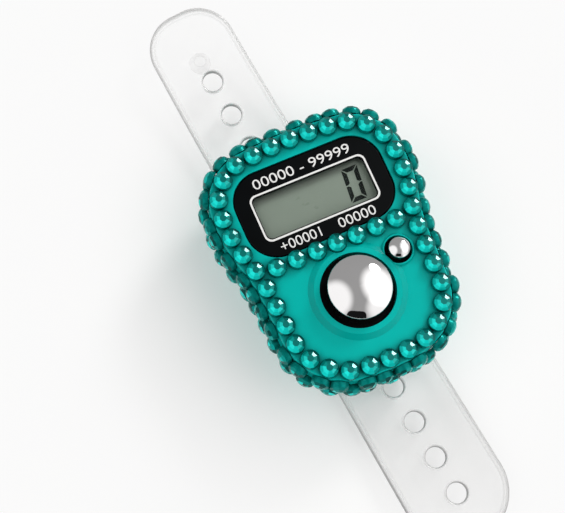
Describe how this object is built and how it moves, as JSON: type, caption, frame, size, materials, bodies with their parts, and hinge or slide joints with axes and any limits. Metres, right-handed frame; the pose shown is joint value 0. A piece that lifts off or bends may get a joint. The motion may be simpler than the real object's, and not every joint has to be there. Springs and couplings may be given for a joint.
{
  "type": "finger tally counter",
  "caption": "Finger-worn electronic tally counter: studded oblong case with a small display, a domed count button, a small reset button and a clear strap with adjusting holes.",
  "frame": {"origin": "on the resting plane under the middle of the case", "axes": "+Z out of the display face, +Y along the strap towards the display end, +X towards the reset button"},
  "size_m": [0.033, 0.0912, 0.0171],
  "materials": {
    "case_teal": "polished moulded plastic",
    "steel": "zinc-plated",
    "board_green": "solder mask",
    "chip_black": "potting resin",
    "capacitor_tan": "ceramic",
    "cell_steel": "nickel-plated",
    "spring_steel": "nickel-plated strip",
    "display_glass": "polished glass",
    "polariser_film": "film",
    "reflector_foil": "satin foil",
    "zebra_rubber": "layered silicone",
    "window_clear": "clear acrylic",
    "mask_black": "high gloss",
    "button_chrome": "bright plated",
    "silicone": "translucent silicone",
    "carbon_rubber": "carbon-loaded rubber",
    "strap_clear": "clear soft vinyl",
    "stone_aqua": "faceted, foil-backed"
  },
  "bodies": {
    "case": {"battery_contact_negative": "spring_steel", "battery_contact_positive": "spring_steel", "battery_door": "case_teal", "battery_door_screw": "steel", "board_capacitors": "capacitor_tan", "button_cell": "cell_steel", "case_screws": "steel", "chip_blob": "chip_black", "circuit_board": "board_green", "count_dome": "silicone", "divider_stones": "stone_aqua", "face_stones": "stone_aqua", "front_cover": "case_teal", "lcd_glass": "display_glass", "lcd_polariser": "polariser_film", "lcd_reflector": "reflector_foil", "rear_shell": "case_teal", "reset_dome": "silicone", "side_stones_lower": "stone_aqua", "side_stones_upper": "stone_aqua", "window_lens": "window_clear", "window_mask": "mask_black", "zebra_strip": "zebra_rubber"},
    "count_key": {"count_button": "button_chrome", "count_pill": "carbon_rubber"},
    "reset_key": {"reset_button": "button_chrome", "reset_pill": "carbon_rubber"},
    "strap": {"strap": "strap_clear"}
  },
  "joints": [
    {"name": "count_press", "type": "slide", "parent": "case", "child": "count_key", "axis": [0, 0, -1], "range_m": [0, 0.0009], "stiffness_N_per_m": 1200, "springref_m": -0.0003, "deforming": ["count_dome"]},
    {"name": "reset_press", "type": "slide", "parent": "case", "child": "reset_key", "axis": [0, 0, -1], "range_m": [0, 0.0007], "stiffness_N_per_m": 1200, "springref_m": -0.0003, "deforming": ["reset_dome"]},
    {"name": "strap_slide", "type": "slide", "parent": "case", "child": "strap", "axis": [-0.1111, 0.9938, 0], "range_m": [-0.006, 0.006]}
  ]
}
